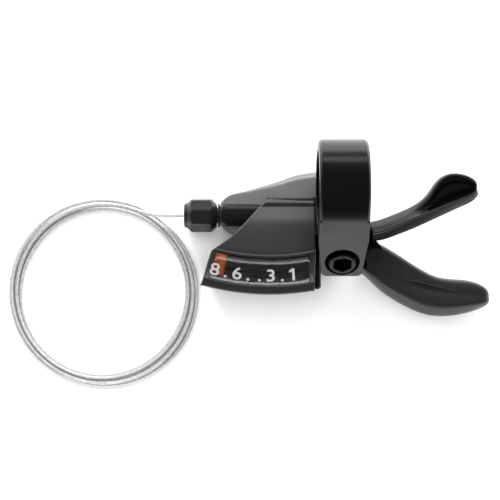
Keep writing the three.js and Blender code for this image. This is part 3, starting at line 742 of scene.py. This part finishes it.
def hood_rows():
    """Rows from the back to the chin: how each runs in plan, its place and its height."""
    rows = [("line", HOOD["back"], None)]
    rows += [("line", y, z) for y, z in HOOD_BACK]
    rows += [("blend", 0.5, HOOD["top"]), ("arc", DIAL["top_r"] + TOP_ENDS, HOOD["top"])]
    rows += [("arc", DIAL["top_r"] + out, z) for out, z in RIDGE]
    for down in (WINDOW_TOP, 5, 8, WINDOW_END):
        rows.append(("arc", DIAL["top_r"] + down * math.cos(SLOPE), DIAL["top_z"] - down * math.sin(SLOPE)))
    rows += [("arc", radius, z) for radius, z in CHIN]
    rows.append(("arc", HOOD["chin_r"], None))
    return rows


def hood_row_y(kind, place, x):
    """Where a row of the hood lies at a given x."""
    if kind == "line":
        return place
    if kind == "arc":
        return DIAL["y"] - math.sqrt(place ** 2 - (x - DIAL["x"]) ** 2)
    straight = HOOD_BACK[-1][0]
    return straight + (hood_row_y("arc", DIAL["top_r"] + TOP_ENDS, x) - straight) * place


def hood_skin(window_only=False):
    """The hood's skin: a grid laid over its rows, less its window, or the window alone."""
    rows = hood_rows()
    inset = [0, 0, CORNER_DROP, FRAME]
    last_column = len(inset) * 2 + COLUMNS - 1
    last_row = len(rows) - 1
    bm = bmesh.new()
    bmesh.ops.create_grid(bm, x_segments=last_column, y_segments=last_row, size=1)
    place = {}
    for vert in bm.verts:
        i = round((vert.co.x + 1) / 2 * last_column)
        j = round((1 - vert.co.y) / 2 * last_row)
        kind, where, height = rows[j]
        left, right = HOOD_LEFT[0][1], HOOD["right"]
        for _ in range(8):
            left = hood_left(hood_row_y(kind, where, left))
        edge_column = min(i, last_column - i)
        if edge_column < len(inset):
            x = left + inset[i] if i == edge_column else right - inset[edge_column]
        else:
            share = (i - len(inset) + 1) / (COLUMNS + 1)
            x = left + FRAME + (right - left - 2 * FRAME) * share
        y = hood_row_y(kind, where, x)
        foot = max(HOOD["foot"], hull_top(x) + CASE_GAP) if y > CASE_ENDS else HOOD["foot"]
        drop = CORNER_DROP if edge_column == 1 else 0
        z = foot if height is None or edge_column == 0 else max(height - drop, foot)
        vert.co = Vector((x, y, z)) * MM
        place[vert] = (i, j)
    top = next(j for j, row in enumerate(rows) if row[0] == "arc" and row[1] > DIAL["top_r"] + 1)
    first, last = len(inset) - 1, last_column - len(inset) + 1
    window = [f for f in bm.faces
              if all(first <= place[v][0] <= last and top <= place[v][1] <= top + 3 for v in f.verts)]
    for face in bm.faces:
        # The back rows take the second material: painted shade on the lip.
        face.material_index = int(all(place[v][1] <= PAINTED_SHADE_ROWS for v in face.verts))
    unwanted = [f for f in bm.faces if f not in window] if window_only else window
    bmesh.ops.delete(bm, geom=unwanted, context="FACES")
    bmesh.ops.remove_doubles(bm, verts=bm.verts, dist=0.01 * MM)
    upward(bm)
    return bm


# ABS with a high gloss that the hand has dulled a little, so its highlights are soft.
hood_abs = grained("glossy_black_abs", "252525", 0.3, 0.5, 0.003)
# The same ABS, near black and glossier: on the lip at the back it is painted shade, and the cap at the
# right end takes it too.
lip_shade_and_cap_abs = grained("black_abs_painted_lip_shade_and_cap", "060606", 0.2, 0.5, 0.002)
hood = piece("display_hood", hood_skin(), hood_abs, "housing", ["display_cover"])
# The second material paints the shade on the hood's back lip.
hood.data.materials.append(lip_shade_and_cap_abs)
walled(hood, HOOD["wall"]).use_quality_normals = True
rounded_edges(hood, HOOD["edge"], 2, SHARP_ANGLE)

# ---------------------------------------------------------------- display end cap
# A low black cap closes the display's right end, under the clamp's lug. It is a trim moulding
# fixed to the case, in the same near-black ABS that paints the shade on the hood's lip.
CAP = {"left": -5.6, "right": -3.1, "low": 12.1, "high": 14.7, "corner": 0.5}
CAP_STATIONS = (-3.5, -4.2, -12, -20, -25.0, -25.6)


def cap_ring(y):
    """One section of the cap, smaller at its two ends."""
    corner = CAP["corner"]
    inset = corner if y in (CAP_STATIONS[0], CAP_STATIONS[-1]) else 0
    left, right, low, high = CAP["left"], CAP["right"] - inset, CAP["low"], CAP["high"] - inset
    outline = [(left, low), (right, low), (right, high - corner), (right - corner, high), (left, high)]
    return [Vector((x, y, z)) for x, z in outline]


piece("display_end_cap", lofted([cap_ring(y) for y in CAP_STATIONS]), lip_shade_and_cap_abs, "housing",
      sharp=40)

# ---------------------------------------------------------------- display window
# The window is a polished polycarbonate moulding, bonded in the hood's frame. It stands a little
# proud of the frame, and its rounded edges catch the light as thin lines.
WINDOW = {"proud": 0.32, "wall": 1.0, "edge": 0.22, "haze": 8, "smoothest": 0.01, "roughest": 0.06}


def clear_polycarbonate():
    """Polished polycarbonate: clear, with the slight unevenness of a moulded window."""
    material, tree, shader = new_material("clear_polycarbonate")
    place = add(tree, "ShaderNodeTexCoord")
    haze = add(tree, "ShaderNodeTexNoise", {"Vector": place.outputs["Object"]},
               Scale=1 / (WINDOW["haze"] * MM), Detail=2)
    gloss = add(tree, "ShaderNodeMapRange", {"Value": haze.outputs["Fac"]})
    gloss.inputs["To Min"].default_value = WINDOW["smoothest"]
    gloss.inputs["To Max"].default_value = WINDOW["roughest"]
    tree.links.new(gloss.outputs["Result"], shader.inputs["Roughness"])
    shader.inputs["Base Color"].default_value = linear("F4F6F7")
    shader.inputs["Transmission Weight"].default_value = 1
    shader.inputs["IOR"].default_value = 1.58
    return material


lens_bm = hood_skin(window_only=True)
bmesh.ops.translate(lens_bm, verts=lens_bm.verts, vec=(0, 0, WINDOW["proud"] * MM))
lens = piece("display_window", lens_bm, clear_polycarbonate(), "housing", ["display_lens"])
walled(lens, WINDOW["wall"])
rounded_edges(lens, WINDOW["edge"], 3, 50, hard=False)

# ---------------------------------------------------------------- barrel adjuster
# The eight-sided knob that sets the cable's tension, moulded in black nylon, with its flats
# turned off to a cone at both ends. It has a hole for the cable and a bore for its stem.
KNOB = {"left": -44.2, "right": -34.2, "radius": 5.3, "turned": 7.2, "corner": 0.35, "spare": 4}
KNOB_PROFILE = [(0, 0.9), (0, 3.3), (0.35, 3.75), (0.9, 3.8), (2.6, 5.4), (7.9, 5.4), (9.9, 3.6),
                (10, 2.7), (3.9, 2.7), (3.9, 0.9)]


def turned_x(profile, left, steps=96):
    """A closed profile of (along, out) pairs in millimetres, spun about the cable's line."""
    bm = bmesh.new()
    centre = Vector((left, CABLE["y"], CABLE["z"])) * MM
    verts = [bm.verts.new(centre + Vector((along, 0, out)) * MM) for along, out in profile]
    edges = [bm.edges.new((verts[i - 1], v)) for i, v in enumerate(verts)]
    bmesh.ops.spin(bm, geom=verts + edges, cent=centre, axis=(1, 0, 0), angle=2 * math.pi, steps=steps,
                   use_merge=True)
    bmesh.ops.recalc_face_normals(bm, faces=bm.faces)
    return bm


def octagon_bar():
    """An eight-sided bar along the cable, with its corners eased."""
    bm = bmesh.new()
    length = KNOB["right"] - KNOB["left"] + KNOB["spare"]
    bmesh.ops.create_cone(bm, cap_ends=True, segments=8, radius1=KNOB["radius"] * MM,
                          radius2=KNOB["radius"] * MM, depth=length * MM)
    half_side = 22.5
    roll = Matrix.Rotation(math.radians(KNOB["turned"] + half_side), 4, "X")
    bm.transform(roll @ Matrix.Rotation(math.radians(90), 4, "Y"))
    middle = (KNOB["left"] + KNOB["right"]) / 2
    bmesh.ops.translate(bm, verts=bm.verts, vec=Vector((middle, CABLE["y"], CABLE["z"])) * MM)
    along = [e for e in bm.edges if abs((e.verts[0].co - e.verts[1].co).x) > length / 2 * MM]
    bmesh.ops.bevel(bm, geom=along, offset=KNOB["corner"] * MM, offset_type="OFFSET", affect="EDGES",
                    segments=2, profile=0.5, material=-1)
    return bm


# Black nylon, rubbed by fingers: each flat takes the light differently.
knob_nylon = grained("black_knob_nylon", "121212", 0.3, 0.35, 0.012)
knob = piece("adjuster_knob_moulding", turned_x(KNOB_PROFILE, KNOB["left"]), knob_nylon, "adjuster",
             ["adjuster_knob"], sharp=25)
bar_mesh = bpy.data.meshes.new("knob_bar")
bar_bm = octagon_bar()
bar_bm.to_mesh(bar_mesh)
bar_bm.free()
bar = bpy.data.objects.new("knob_bar", bar_mesh)
bpy.context.collection.objects.link(bar)
flats = knob.modifiers.new("flats", "BOOLEAN")
flats.operation = "INTERSECT"
flats.object = bar
flats.solver = "EXACT"
applied(knob)
bpy.data.objects.remove(bar)
knob.data.set_sharp_from_angle(angle=math.radians(20))
